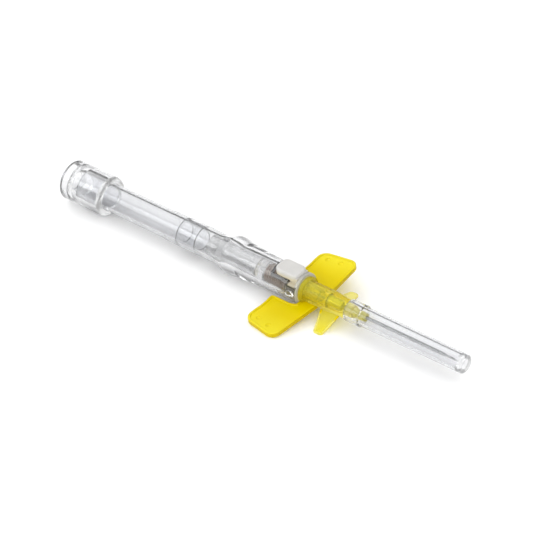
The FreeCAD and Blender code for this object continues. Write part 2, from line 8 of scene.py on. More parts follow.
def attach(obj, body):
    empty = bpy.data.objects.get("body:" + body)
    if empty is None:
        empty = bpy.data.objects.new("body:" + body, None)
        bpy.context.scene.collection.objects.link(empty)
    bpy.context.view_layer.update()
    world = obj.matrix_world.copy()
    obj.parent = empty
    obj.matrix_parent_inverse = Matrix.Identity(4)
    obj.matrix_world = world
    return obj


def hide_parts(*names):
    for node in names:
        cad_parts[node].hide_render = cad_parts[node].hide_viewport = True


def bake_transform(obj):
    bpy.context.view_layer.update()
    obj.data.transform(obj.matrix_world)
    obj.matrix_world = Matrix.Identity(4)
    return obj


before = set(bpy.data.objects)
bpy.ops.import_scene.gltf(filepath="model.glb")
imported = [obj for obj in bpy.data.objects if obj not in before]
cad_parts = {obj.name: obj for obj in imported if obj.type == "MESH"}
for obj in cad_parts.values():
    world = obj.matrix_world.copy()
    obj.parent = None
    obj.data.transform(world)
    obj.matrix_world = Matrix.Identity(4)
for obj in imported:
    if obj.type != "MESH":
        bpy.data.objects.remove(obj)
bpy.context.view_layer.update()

mm = 0.001
axisHeight = 4.2                      # the needle's axis above the foot
axisPoint = Vector((0, 0, axisHeight * mm))
alongX = Vector((1, 0, 0))
ringSteps = 96
cornerSteps = 12
edgeSteps = 4
tolerance = {"merge": 0.0005, "collapse": 0.0002, "along": 0.004, "across": 0.012, "corner": 0.01}
past = 1                              # how far a cutting block reaches beyond what it cuts


# A shader socket that can be used in sums
class Value:
    def __init__(self, graph, socket):
        self.graph = graph
        self.socket = socket

    def join(self, operation, other, flipped=False):
        first, second = (other, self) if flipped else (self, other)
        return self.graph.add("ShaderNodeMath", {"operation": operation}, first, second)

    def __add__(self, other):
        return self.join("ADD", other)

    __radd__ = __add__

    def __sub__(self, other):
        return self.join("SUBTRACT", other)

    def __rsub__(self, other):
        return self.join("SUBTRACT", other, flipped=True)

    def __mul__(self, other):
        return self.join("MULTIPLY", other)

    __rmul__ = __mul__

    def squared(self):
        return self.join("MULTIPLY", self)

    def __gt__(self, other):
        return self.join("GREATER_THAN", other)

    def changed(self, operation):
        return self.graph.add("ShaderNodeMath", {"operation": operation}, self)

    def absolute(self):
        return self.changed("ABSOLUTE")

    def clipped(self):
        return self.graph.add("ShaderNodeClamp", {}, self)


# The nodes of a material, or of the world
class Graph:
    def __init__(self, owner, shader="Principled BSDF"):
        owner.use_nodes = True
        self.owner = owner
        self.tree = owner.node_tree
        self.shader = self.tree.nodes[shader]

    def add(self, kind, settings, *inputs, out=0, **named):
        node = self.tree.nodes.new(kind)
        for key, value in settings.items():
            if key == "stops":
                while len(node.color_ramp.elements) < len(value):
                    node.color_ramp.elements.new(0.5)
                for element, (place, colour) in zip(node.color_ramp.elements, value):
                    element.position = place
                    element.color = colour
            else:
                setattr(node, key, value)
        for index, value in enumerate(inputs):
            self.feed(node.inputs[index], value)
        for key, value in named.items():
            self.feed(node.inputs[key.replace("_", " ")], value)
        return Value(self, node.outputs[out])

    def feed(self, socket, value):
        if isinstance(value, Value):
            self.tree.links.new(value.socket, socket)
        elif value is not None:
            socket.default_value = value

    def set(self, **named):
        for key, value in named.items():
            self.feed(self.shader.inputs[key.replace("_", " ")], value)

    def place(self, scale=(1, 1, 1), turn=(0, 0, 0)):
        coordinate = self.add("ShaderNodeTexCoord", {}, out=3)
        return self.add("ShaderNodeMapping", {}, coordinate, Rotation=turn, Scale=scale)

    def parts(self, vector):
        apart = self.add("ShaderNodeSeparateXYZ", {}, vector)
        return [Value(self, output) for output in apart.socket.node.outputs]

    def partsInMm(self):
        return self.parts(self.place(scale=(1 / mm, 1 / mm, 1 / mm)))

    def upward(self):
        return self.parts(self.add("ShaderNodeTexCoord", {}, out=1))[2]

    def noise(self, place, scale, detail=3.0, roughness=0.5):
        return self.add("ShaderNodeTexNoise", {}, Vector=place, Scale=scale, Detail=detail, Roughness=roughness)

    def blendColours(self, factor, first, second):
        numberInputs = [None] * 5         # the Mix node's inputs for numbers and vectors, left alone
        return self.add("ShaderNodeMix", {"data_type": "RGBA"}, factor, *numberInputs, first, second, out=2)

    def bump(self, height, strength, distance):
        return self.add("ShaderNodeBump", {}, Strength=strength, Distance=distance * mm, Height=height)


def at(x, y, up):
    return Vector((x, y, axisHeight + up)) * mm


def rawObject(bm, name):
    mesh = bpy.data.meshes.new(name)
    bm.to_mesh(mesh)
    bm.free()
    piece = bpy.data.objects.new(name, mesh)
    bpy.context.scene.collection.objects.link(piece)
    return piece


def finishPiece(piece, body, material, replaced=(), sharpAngle=35):
    mesh = piece.data
    for polygon in mesh.polygons:
        polygon.use_smooth = True
    mesh.set_sharp_from_angle(angle=math.radians(sharpAngle))
    change = piece.modifiers.new("flatShading", "WEIGHTED_NORMAL")
    change.keep_sharp = True
    applyModifiers(piece)
    piece.data.materials.clear()
    piece.data.materials.append(material)
    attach(piece, body)
    if replaced:
        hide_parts(*replaced)
    return piece


# A profile of (station, radius) corners in mm, spun about the needle's axis. Rings may be rounded.
def spunMesh(profile, closed=True, rounds=(), steps=ringSteps):
    bm = bmesh.new()
    corners = [bm.verts.new(at(x, 0, r)) for x, r in profile]
    pairs = list(zip(corners, corners[1:]))
    if closed:
        pairs.append((corners[-1], corners[0]))
    for first, second in pairs:
        bm.edges.new((first, second))
    bmesh.ops.spin(bm, geom=bm.verts[:] + bm.edges[:], cent=axisPoint, axis=alongX, angle=2 * math.pi,
                   steps=steps, use_merge=True)
    bmesh.ops.remove_doubles(bm, verts=bm.verts, dist=tolerance["merge"] * mm)
    bmesh.ops.dissolve_degenerate(bm, edges=bm.edges, dist=tolerance["collapse"] * mm)
    bmesh.ops.recalc_face_normals(bm, faces=bm.faces)
    for x, r, radius, segments in rounds:
        roundRing(bm, x, r, radius, segments)
    return bm


def spunPiece(name, profile, body, material, closed=True, rounds=(), replaced=()):
    piece = rawObject(spunMesh(profile, closed, rounds), name)
    return finishPiece(piece, body, material, replaced)


def roundBar(rear, front, radius, up=0):
    bar = rawObject(spunMesh([(rear, 0), (rear, radius), (front, radius), (front, 0)], closed=False), "bar")
    bar.data.transform(Matrix.Translation((0, 0, up * mm)))
    return bar


def radiusOf(point):
    return math.hypot(point.y, point.z - axisPoint.z) / mm


def bevelEdges(bm, edges, radius, segments):
    bmesh.ops.bevel(bm, geom=edges, offset=radius * mm, offset_type="OFFSET", segments=segments, profile=0.5,
                    affect="EDGES", clamp_overlap=True, material=-1)


def roundRing(bm, x, r, radius, segments):
    def onRing(vert):
        near = abs(vert.co.x / mm - x) < tolerance["along"]
        return near and abs(radiusOf(vert.co) - r) < tolerance["across"]

    ring = [edge for edge in bm.edges if all(onRing(vert) for vert in edge.verts)]
    if not ring:
        raise ValueError(f"no ring at {x}, {r}")
    bevelEdges(bm, ring, radius, segments)


def combine(piece, other, operation):
    change = piece.modifiers.new("combine", "BOOLEAN")
    change.operation = operation
    change.solver = "EXACT"
    change.object = other
    applyModifiers(piece)
    bpy.data.objects.remove(other)


def applyModifiers(piece):
    graph = bpy.context.evaluated_depsgraph_get()
    made = bpy.data.meshes.new_from_object(piece.evaluated_get(graph))
    piece.modifiers.clear()
    old = piece.data
    piece.data = made
    bpy.data.meshes.remove(old)


def boxMesh(low, high):
    bm = bmesh.new()
    bmesh.ops.create_cube(bm, size=1)
    bmesh.ops.scale(bm, vec=Vector(high) - Vector(low), verts=bm.verts)
    bmesh.ops.scale(bm, vec=(mm, mm, mm), verts=bm.verts)
    middle = (Vector(low) + Vector(high)) / 2
    bmesh.ops.translate(bm, vec=at(*middle), verts=bm.verts)
    return bm


def box(low, high):
    return rawObject(boxMesh(low, high), "block")


# One flat face, pulled out by a shift in mm
def slabMesh(corners, shift):
    bm = bmesh.new()
    face = bm.faces.new([bm.verts.new(corner) for corner in corners])
    made = bmesh.ops.extrude_face_region(bm, geom=[face])
    pulled = [item for item in made["geom"] if isinstance(item, bmesh.types.BMVert)]
    bmesh.ops.translate(bm, verts=pulled, vec=Vector(shift) * mm)
    bmesh.ops.recalc_face_normals(bm, faces=bm.faces)
    return bm


# A flat plate between two heights above the axis, with chosen corners of its plan rounded
def plateMesh(outline, low, high, corners):
    bm = slabMesh([at(x, y, low) for x, y in outline], (0, 0, high - low))
    for x, y, radius in corners:
        def onCorner(vert):
            return math.hypot(vert.co.x / mm - x, vert.co.y / mm - y) < tolerance["corner"]

        upright = [edge for edge in bm.edges if all(onCorner(vert) for vert in edge.verts)]
        bevelEdges(bm, upright, radius, cornerSteps)
    return bm


# A raised border round the top of a plate, with a sloping inner side, then soft outer edges
def sinkFace(bm, width, depth, softness, slope=0.8, sharp=60):
    tops = [face for face in bm.faces if face.normal.z > 0.99]
    bmesh.ops.inset_region(bm, faces=tops, thickness=width * mm, use_even_offset=True)
    bmesh.ops.inset_region(bm, faces=tops, thickness=depth * slope * mm, depth=-depth * mm, use_even_offset=True)
    outer = [edge for edge in bm.edges
             if len(edge.link_faces) == 2 and edge.calc_face_angle(0) > math.radians(sharp)]
    bevelEdges(bm, outer, softness, edgeSteps)


# Sizes of the patterns in the plastics and metals: the larger the number, the finer the pattern
patterns = {
    "flowStreaks": 900.0, "roughSpots": 2600.0, "milkClouds": 800.0, "wingClouds": 240.0, "wingGrain": 4200.0,
    "tubeClouds": 700.0, "drawnSteel": 3000.0, "buttonClouds": 500.0, "buttonGrain": 5000.0, "plugGrain": 6000.0,
}


def newMaterial(name):
    return Graph(bpy.data.materials.new(name))


# Clear moulding with faint flow streaks. Ahead of milkyFrom, in mm along the needle, it is as dense as milky says
def clearPlastic(name, tint, roughness, haze, solid, milkyFrom=100.0, milky=1.0):
    graph = newMaterial(name)
    front = graph.partsInMm()[0] > milkyFrom
    flow = graph.noise(graph.place(scale=(0.25, 1, 1)), patterns["flowStreaks"], detail=2.0)
    spots = graph.noise(graph.place(), patterns["roughSpots"], detail=1.0)
    shade = graph.blendColours(flow, (tint[0] * haze, tint[1] * haze, tint[2] * haze, 1), (*tint, 1))
    graph.set(Base_Color=shade, Roughness=(spots * 0.02 + roughness).clipped(),
              Normal=graph.bump(flow, strength=0.06, distance=0.02), Alpha=solid - front * (solid - milky),
              IOR=1.5, Transmission_Weight=1.0)
    return graph.owner


# Frosted moulding, for a thin ring or lip
def milkyPlastic(name, tint, transmission):
    graph = newMaterial(name)
    cloud = graph.noise(graph.place(), patterns["milkClouds"], detail=2.0)
    shade = graph.blendColours(cloud, (tint[0] * 0.94, tint[1] * 0.94, tint[2] * 0.92, 1), (*tint, 1))
    graph.set(Base_Color=shade, Roughness=cloud * 0.1 + 0.15, IOR=1.45, Transmission_Weight=transmission)
    return graph.owner


# Strong yellow on the wings; a painted shade deepens the walls seen edge on, a painted light makes the tips paler,
# and the thin fins are paler
def yellowWings(look):
    graph = newMaterial("yellowWings")
    x, y = graph.partsInMm()[:2]
    side = y.absolute()
    cloud = graph.noise(graph.place(), patterns["wingClouds"], detail=2.0)
    grain = graph.noise(graph.place(), patterns["wingGrain"], detail=2.0)
    # painted light: the tips grow paler with distance out from the needle's axis
    tip = ((side - look["paintedLitFrom"]) * (1 / look["paintedLitOver"]) + cloud * 0.3 - 0.15).clipped()
    fin = (x > look["finsFrom"]) * (side > look["finsOut"])
    # painted shade: faces that stand upright take the deeper edge colour
    edge = (1 - graph.upward().absolute() * look["edgeShadeSpread"]).clipped()
    shade = graph.blendColours(cloud, (*look["deep"], 1), (*look["strong"], 1))
    shade = graph.blendColours(tip, shade, (*look["paintedLitTip"], 1))
    shade = graph.blendColours(fin, shade, (*look["thin"], 1))
    shade = graph.blendColours(edge * look["edgeShadeStrength"], shade, (*look["edge"], 1))
    graph.set(Base_Color=shade, Roughness=grain * 0.08 + look["roughness"], Alpha=1 - fin * (1 - look["finSolid"]),
              Normal=graph.bump(grain, strength=0.1, distance=0.02), IOR=look["index"],
              Specular_IOR_Level=look["gloss"], Transmission_Weight=look["transmission"])
    return graph.owner


# The tube of the hub is see-through, and a painted shade makes its sides deeper than its top
def yellowTube(name, look):
    graph = newMaterial(name)
    cloud = graph.noise(graph.place(scale=(0.4, 1, 1)), patterns["tubeClouds"], detail=2.0)
    # painted shade: faces that stand upright take the deeper sides colour
    sides = (1 - graph.upward().absolute() * look["sideShadeSpread"]).clipped()
    shade = graph.blendColours(cloud, (*look["dim"], 1), (*look["bright"], 1))
    shade = graph.blendColours(sides * look["sideShadeStrength"], shade, (*look["sides"], 1))
    graph.set(Base_Color=shade, Roughness=cloud * 0.03 + look["roughness"], Alpha=look["solid"],
              Normal=graph.bump(cloud, strength=0.1, distance=0.02), IOR=look["index"],
              Transmission_Weight=look["transmission"])
    return graph.owner


# Drawn or turned steel, with streaks along the axes that have a small number
def brightSteel(name, dark, light, streaks, roughness):
    graph = newMaterial(name)
    drawn = graph.noise(graph.place(scale=streaks), patterns["drawnSteel"], detail=3.0)
    shade = graph.blendColours(drawn, (*dark, 1), (*light, 1))
    graph.set(Base_Color=shade, Roughness=drawn * 0.2 + roughness, Metallic=1.0,
              Normal=graph.bump(drawn, strength=0.1, distance=0.01))
    return graph.owner


# Off-white on the pad, and below it a yellower painted shade, with faint curved ridges on the front half of the pad
def buttonPlastic(look):
    graph = newMaterial("buttonMoulding")
    x, y, z = graph.partsInMm()
    cloud = graph.noise(graph.place(), patterns["buttonClouds"], detail=2.0)
    grain = graph.noise(graph.place(), patterns["buttonGrain"], detail=2.0)
    # painted shade: below the pad line the colour turns yellower
    low = ((look["padLine"] - z) * 2.5 + 0.5).clipped()
    fromCentre = ((x + look["ridgeCentre"]).squared() + y.squared()).changed("SQRT")
    wave = (fromCentre * (2 * math.pi / look["ridgeStep"])).changed("SINE")
    ridged = wave * ((fromCentre - look["ridgeFrom"]) * 1.5).clipped() * (1 - low)
    shade = graph.blendColours(cloud, (*look["dim"], 1), (*look["bright"], 1))
    shade = graph.blendColours(low, shade, (*look["shadedSkirt"], 1))
    normal = graph.add("ShaderNodeBump", {}, Strength=look["ridgeStrength"], Distance=look["ridgeHeight"] * mm,
                       Height=ridged, Normal=graph.bump(grain, strength=0.15, distance=0.02))
    graph.set(Base_Color=shade, Roughness=grain * 0.1 + look["roughness"], Normal=normal, IOR=look["index"],
              Transmission_Weight=look["transmission"])
    return graph.owner


def porousPlastic():
    graph = newMaterial("porousPlug")
    grain = graph.noise(graph.place(), patterns["plugGrain"], detail=4.0)
    shade = graph.blendColours(grain, (0.84, 0.83, 0.8, 1), (0.93, 0.92, 0.9, 1))
    graph.set(Base_Color=shade, Roughness=grain * 0.2 + 0.7, Alpha=0.25,
              Normal=graph.bump(grain, strength=0.5, distance=0.03))
    return graph.owner


wingLook = {
    # edge is a painted shade on upright faces, and the pale tip colour is a painted light
    "deep": (0.82, 0.65, 0.0), "strong": (0.88, 0.71, 0.0), "paintedLitTip": (0.91, 0.80, 0.03), "thin": (0.90, 0.83, 0.22),
    "edge": (0.68, 0.50, 0.0), "edgeShadeStrength": 0.9, "edgeShadeSpread": 1.5, "paintedLitFrom": 7.0, "paintedLitOver": 5.5,
    "finsFrom": 2.6, "finsOut": 2.4, "finSolid": 0.72, "roughness": 0.16, "transmission": 0.3, "gloss": 0.08,
    "index": 1.3,
}
tubeLook = {
    # sides is a painted shade on the upright faces, here and in noseLook
    "dim": (0.98, 0.89, 0.05), "bright": (1.0, 0.96, 0.2), "sides": (0.98, 0.82, 0.0), "sideShadeStrength": 0.85,
    "sideShadeSpread": 1.3, "roughness": 0.0, "solid": 0.9, "transmission": 0.8, "index": 1.2,
}
noseLook = {
    "dim": (1.0, 0.92, 0.18), "bright": (1.0, 0.97, 0.32), "sides": (1.0, 0.86, 0.04), "sideShadeStrength": 0.6,
    "sideShadeSpread": 1.3, "roughness": 0.0, "solid": 0.9, "transmission": 0.55, "index": 1.25,
}
buttonLook = {
    # the skirt colour is a painted shade below the pad line
    "dim": (0.60, 0.59, 0.57), "bright": (0.68, 0.67, 0.65), "shadedSkirt": (0.66, 0.60, 0.45), "padLine": 7.3,
    "ridgeCentre": 11.5, "ridgeFrom": 6.2, "ridgeStep": 0.5, "ridgeStrength": 0.25, "ridgeHeight": 0.06,
    "roughness": 0.32, "index": 1.48, "transmission": 0.15,
}
clearCap = clearPlastic("clearCap", tint=(0.92, 0.925, 0.935), roughness=0.0, haze=0.98, solid=0.95)
# painted shade: the barrel's tint is darker than that of the cap, grip and cover
shadedClearBarrel = clearPlastic("shadedClearBarrel", tint=(0.87, 0.875, 0.89), roughness=0.0, haze=0.98, solid=0.97)
clearGrip = clearPlastic("clearGrip", tint=(0.91, 0.915, 0.925), roughness=0.0, haze=0.98, solid=0.96)
ringPlastic = milkyPlastic("ringPlastic", tint=(0.80, 0.79, 0.75), transmission=0.55)
mouthPlastic = milkyPlastic("mouthPlastic", tint=(0.84, 0.845, 0.85), transmission=0.72)
clearCarriage = clearPlastic("clearCarriage", tint=(0.9, 0.9, 0.9), roughness=0.06, haze=0.96, solid=0.92)
clearCover = clearPlastic("clearCover", tint=(0.9, 0.905, 0.92), roughness=0.0, haze=0.98, solid=0.97,
                          milkyFrom=36.2, milky=0.45)
clearTube = clearPlastic("clearTube", tint=(0.78, 0.79, 0.79), roughness=0.05, haze=0.97, solid=0.92)
wingYellow = yellowWings(wingLook)
tubeYellow = yellowTube("yellowTube", tubeLook)
noseYellow = yellowTube("yellowNose", noseLook)
buttonWhite = buttonPlastic(buttonLook)
plugWhite = porousPlastic()
needleSteel = brightSteel("needleSteel", dark=(0.28, 0.28, 0.28), light=(0.52, 0.52, 0.52), streaks=(0.05, 1, 1),
                          roughness=0.12)
springSteel = brightSteel("springSteel", dark=(0.16, 0.12, 0.10), light=(0.52, 0.43, 0.37), streaks=(1, 0.3, 0.3),
                          roughness=0.25)
wedgeSteel = brightSteel("wedgeSteel", dark=(0.6, 0.6, 0.57), light=(0.85, 0.85, 0.8), streaks=(1, 0.2, 0.2),
                         roughness=0.12)
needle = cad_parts["needle"]
needle.data.materials.clear()
needle.data.materials.append(needleSteel)
print("materials done")



# Gives the piece's second material to what lies ahead of a station and outside a radius
def frostOutside(piece, station, radius):
    for polygon in piece.data.polygons:
        if polygon.center.x > station * mm and radiusOf(polygon.center) > radius:
            polygon.material_index = 1


# A ring's rounding is its radius in mm and its number of steps
capShape = {
    "rear": -63.8, "front": -53.0, "radius": 4.2, "recessRadius": 2.66, "recessEnd": -62.3, "wallFront": -61.5,
    "boreRadius": 2.2, "socketEnd": -59.72, "socketRadius": 2.93, "mouthRear": -53.95, "mouthInner": 2.96,
    "rearRound": (0.35, 5), "recessRound": (0.15, 3), "mouthRound": (0.8, 10), "floorRound": (0.3, 4),
}


def makeEndCap(shape):
    profile = [
        (shape["rear"], shape["recessRadius"]), (shape["rear"], shape["radius"]),
        (shape["front"], shape["radius"]), (shape["front"], shape["socketRadius"]),
        (shape["socketEnd"], shape["socketRadius"]), (shape["socketEnd"], shape["boreRadius"]),
        (shape["wallFront"], shape["boreRadius"]), (shape["wallFront"], 0), (shape["recessEnd"], 0),
        (shape["recessEnd"], shape["recessRadius"]),
    ]
    rounds = [
        (shape["rear"], shape["radius"], *shape["rearRound"]),
        (shape["rear"], shape["recessRadius"], *shape["recessRound"]),
        (shape["front"], shape["radius"], *shape["mouthRound"]),
        (shape["recessEnd"], shape["recessRadius"], *shape["floorRound"]),
        (shape["wallFront"], shape["boreRadius"], *shape["floorRound"]),
    ]
    cap = spunPiece("endCapClear", profile, "housing", clearCap, rounds=rounds, replaced=["end_cap"])
    cap.data.materials.append(mouthPlastic)
    frostOutside(cap, shape["mouthRear"], shape["mouthInner"])
    return cap


barrelShape = {
    "rear": -59.7, "radius": 2.91, "bore": 2.2, "collarRear": -36.5, "collarRadius": 3.02, "gripRear": -32.85,
    "spigotRadius": 2.62, "spigotFront": -28.2, "rearRound": (0.2, 3), "collarRearRound": (0.08, 2),
    "collarFrontRound": (0.1, 2), "spigotRound": (0.2, 3), "boreRound": (0.15, 3),
}


def makeBarrel(shape):
    profile = [
        (shape["rear"], shape["bore"]), (shape["rear"], shape["radius"]), (shape["collarRear"], shape["radius"]),
        (shape["collarRear"], shape["collarRadius"]), (shape["gripRear"], shape["collarRadius"]),
        (shape["gripRear"], shape["spigotRadius"]), (shape["spigotFront"], shape["spigotRadius"]),
        (shape["spigotFront"], shape["bore"]),
    ]
    rounds = [
        (shape["rear"], shape["bore"], *shape["rearRound"]),
        (shape["collarRear"], shape["collarRadius"], *shape["collarRearRound"]),
        (shape["gripRear"], shape["collarRadius"], *shape["collarFrontRound"]),
        (shape["spigotFront"], shape["spigotRadius"], *shape["spigotRound"]),
        (shape["spigotFront"], shape["bore"], *shape["boreRound"]),
    ]
    return spunPiece("barrelClear", profile, "housing", shadedClearBarrel, rounds=rounds, replaced=["barrel"])


gripShape = {
    "rear": -32.8, "front": -1.5, "rearRadius": 3.1, "frontRadius": 3.32, "bore": 2.25, "socketRadius": 2.64,
    "socketEnd": -28.18, "shoulder": -4.6, "shoulderBore": 1.4, "noseRadius": 1.36, "noseEnd": 2.5,
    "noseBore": 0.75, "noseBoreRear": -1.8,
    "flare": [(-22.6, 3.1), (-20.9, 3.75), (-20.1, 4.1), (-18.9, 4.1), (-17.6, 3.86), (-15.5, 3.6), (-10.7, 3.34)],
    "flareRounds": [(2, 0.35, 5), (3, 0.5, 5), (0, 0.6, 5), (1, 0.3, 3)],  # which corner, then radius and steps
    "rearRound": (0.25, 4), "frontRound": (0.18, 3), "noseRound": (0.15, 3), "boreRound": (0.15, 3),
    "slot": (-4.05, -2.1), "slotRadius": 2.75, "windowRear": -8.4, "windowHalfWidth": 2.05, "windowFloor": 1.55,
    "cutTop": (6.0, 6.1), "ringRear": -2.11, "ringInner": 1.56,
}


def makeGrip(shape):
    profile = [
        (shape["rear"], shape["socketRadius"]), (shape["rear"], shape["rearRadius"]), *shape["flare"],
        (shape["front"], shape["frontRadius"]), (shape["front"], shape["noseRadius"]),
        (shape["noseEnd"], shape["noseRadius"]), (shape["noseEnd"], shape["noseBore"]),
        (shape["noseBoreRear"], shape["noseBore"]), (shape["noseBoreRear"], shape["shoulderBore"]),
        (shape["shoulder"], shape["shoulderBore"]), (shape["shoulder"], shape["bore"]),
        (shape["socketEnd"], shape["bore"]), (shape["socketEnd"], shape["socketRadius"]),
    ]
    rounds = [
        (shape["rear"], shape["rearRadius"], *shape["rearRound"]),
        *[(*shape["flare"][corner], radius, steps) for corner, radius, steps in shape["flareRounds"]],
        (shape["front"], shape["frontRadius"], *shape["frontRound"]),
        (shape["noseEnd"], shape["noseRadius"], *shape["noseRound"]),
        (shape["socketEnd"], shape["bore"], *shape["boreRound"]),
    ]
    grip = rawObject(spunMesh(profile, rounds=rounds), "gripClear")
    slotRear, slotFront = shape["slot"]
    slotTop, windowTop = shape["cutTop"]
    wide = shape["slotRadius"]
    slot = roundBar(slotRear, slotFront, wide)
    combine(slot, box((slotRear, -wide, 0), (slotFront, wide, slotTop)), "UNION")
    combine(grip, slot, "DIFFERENCE")
    half = shape["windowHalfWidth"]
    window = box((shape["windowRear"], -half, shape["windowFloor"]), (slotFront, half, windowTop))
    combine(grip, window, "DIFFERENCE")
    finishPiece(grip, "housing", clearGrip, replaced=["grip"])
    grip.data.materials.append(ringPlastic)
    frostOutside(grip, shape["ringRear"], shape["ringInner"])
    return grip


springShape = {"rear": -10.5, "front": -4.62, "radius": 1.82, "wire": 0.21, "turns": 11, "stepsPerTurn": 36,
               "wireSides": 10, "fixedEnd": -4.6}


def makeSpring(shape):
    bm = bmesh.new()
    turn = Matrix.Rotation(math.radians(90), 4, "X")
    bmesh.ops.create_circle(bm, segments=shape["wireSides"], radius=shape["wire"] * mm, cap_ends=False, matrix=turn)
    start = shape["rear"] + shape["wire"]
    bmesh.ops.translate(bm, verts=bm.verts, vec=at(start, 0, shape["radius"]))
    steps = shape["turns"] * shape["stepsPerTurn"]
    rise = shape["front"] - shape["rear"] - 2 * shape["wire"]
    bmesh.ops.spin(bm, geom=bm.verts[:] + bm.edges[:], cent=axisPoint, axis=alongX,
                   angle=2 * math.pi * shape["turns"], dvec=(rise / steps * mm, 0, 0), steps=steps, use_merge=False)
    bmesh.ops.holes_fill(bm, edges=[edge for edge in bm.edges if edge.is_boundary], sides=0)
    bmesh.ops.recalc_face_normals(bm, faces=bm.faces)
    spring = rawObject(bm, "springCoil")
    for polygon in spring.data.polygons:
        polygon.use_smooth = True
    spring.data.materials.append(springSteel)
    at(shape["fixedEnd"], 0, 0)
    at(shape["rear"], 0, 0)
    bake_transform(spring)
    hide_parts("spring")
    return spring


carriageShape = {
    "rear": -25.5, "radius": 2.12, "chamber": 1.5, "chamberEnd": -12.9, "flange": -10.55, "stem": 1.2,
    "groove": (-4.05, -2.1), "grooveRadius": 0.8, "front": -1.85, "needleSeat": 0.24, "plugFront": -23.7,
    "plugRadius": 1.48, "rearRound": (0.2, 3), "flangeRound": (0.15, 3), "chamberRound": (0.3, 4),
    "plugRound": (0.12, 3),
}


def makeCarriage(shape):
    grooveRear, grooveFront = shape["groove"]
    profile = [
        (shape["rear"], shape["chamber"]), (shape["rear"], shape["radius"]), (shape["flange"], shape["radius"]),
        (shape["flange"], shape["stem"]), (grooveRear, shape["stem"]), (grooveRear, shape["grooveRadius"]),
        (grooveFront, shape["grooveRadius"]), (grooveFront, shape["stem"]), (shape["front"], shape["stem"]),
        (shape["front"], shape["needleSeat"]), (shape["chamberEnd"], shape["needleSeat"]),
        (shape["chamberEnd"], shape["chamber"]),
    ]
    rounds = [
        (shape["rear"], shape["radius"], *shape["rearRound"]),
        (shape["flange"], shape["radius"], *shape["flangeRound"]),
        (shape["chamberEnd"], shape["chamber"], *shape["chamberRound"]),
    ]
    spunPiece("needleCarriage", profile, "carriage", clearCarriage, rounds=rounds, replaced=["needle_hub"])
    plug = [(shape["rear"], 0), (shape["rear"], shape["plugRadius"]), (shape["plugFront"], shape["plugRadius"]),
            (shape["plugFront"], 0)]
    spunPiece("flashPlug", plug, "carriage", plugWhite, closed=False,
              rounds=[(shape["rear"], shape["plugRadius"], *shape["plugRound"])], replaced=["flash_plug"])


buttonShape = {
    "pad": ((-7.85, -1.9, 2.6), (-2.15, 1.9, 3.95)), "corner": 1.3, "edgeRound": (0.4, 8), "channelHalfWidth": 1.4,
    "channelTop": 3.1, "plate": (-4.0, -2.15), "plateRadius": 2.63, "plateCentre": 1.0, "plateTop": 1.9,
    "neckHalfWidth": 1.65, "narrow": 0.85, "wide": 1.3, "travel": 0.95, "overlap": 0.3,
    "neckOverlap": 0.2, "cutWide": (4, 6),
}


def makeButton(shape):
    low, high = shape["pad"]
    bm = boxMesh(low, high)
    uprights = [edge for edge in bm.edges if abs(edge.verts[0].co.z - edge.verts[1].co.z) > 0.1 * mm]
    bevelEdges(bm, uprights, shape["corner"], cornerSteps)
    top = at(0, 0, high[2]).z
    rim = [edge for edge in bm.edges if all(abs(vert.co.z - top) < 0.001 * mm for vert in edge.verts)]
    bevelEdges(bm, rim, *shape["edgeRound"])
    button = rawObject(bm, "buttonPad")
    combine(button, box((low[0] - past, -shape["channelHalfWidth"], low[2] - past),
                        (high[0] + past, shape["channelHalfWidth"], shape["channelTop"])), "DIFFERENCE")
    rear, front = shape["plate"]
    plate = roundBar(rear, front, shape["plateRadius"], shape["plateCentre"])
    cutHalf, cutTop = shape["cutWide"]
    combine(plate, box((rear - past, -cutHalf, shape["plateTop"]), (front + past, cutHalf, cutTop)), "DIFFERENCE")
    combine(plate, box((rear, -shape["neckHalfWidth"], shape["plateTop"] - shape["overlap"]),
                       (front, shape["neckHalfWidth"], shape["channelTop"] + shape["neckOverlap"])), "UNION")
    combine(plate, roundBar(rear - past, front + past, shape["narrow"]), "DIFFERENCE")
    combine(plate, roundBar(rear - past, front + past, shape["wide"], shape["travel"]), "DIFFERENCE")
    combine(button, plate, "UNION")
    return finishPiece(button, "button", buttonWhite, replaced=["button"])


hubShape = {
    "rear": -1.45, "rimRadius": 2.8, "rimFront": -0.7, "bodyRadius": 2.2, "bodyFront": 5.1, "face": 9.3,
    "neckRadius": 1.95, "seatRadius": 1.36, "seatFront": 10.8, "noseRadius": 0.92, "noseEnd": 13.7,
    "bore": [(-1.6, 1.39), (3.25, 1.39), (3.25, 1.25), (4.45, 1.25), (4.45, 0.93), (7.86, 0.93), (8.3, 0.37),
             (13.8, 0.37)],
    "foot": ((-1.25, -1.0, -4.2), (1.25, 1.0, -2.0)),
    "keel": [(-1.25, -0.5), (-1.25, -3.45), (9.3, -2.36), (9.3, -0.5)], "keelWidth": 1.4, "tubeHalfWidth": 2.85,
    "rimRound": (0.15, 4), "rootRound": (0.3, 4), "faceRound": (0.2, 4), "seatRound": (0.12, 3),
    "noseRound": (0.15, 3),
}
wingShape = {
    "outline": [(2.15, 1.0), (1.0, 13.45), (-7.35, 12.0), (-7.2, 9.0), (-7.02, 7.4), (-7.02, 5.9),
                (-7.25, 3.75), (-2.2, 3.75), (-1.45, 3.2), (-1.45, 1.0)],
    "corners": [(1.0, 13.45, 2.0), (-7.35, 12.0, 1.8), (-7.25, 3.75, 0.75), (-2.2, 3.75, 0.75)],
    "top": -1.25, "bottom": -2.35, "rimWidth": 0.45, "rimHeight": 0.2, "softness": 0.2,
    "marks": [(-4.85, 10.55), (-1.95, 11.1)], "markRadius": 0.55, "markFlatness": 0.5, "markDepth": 0.26,
}
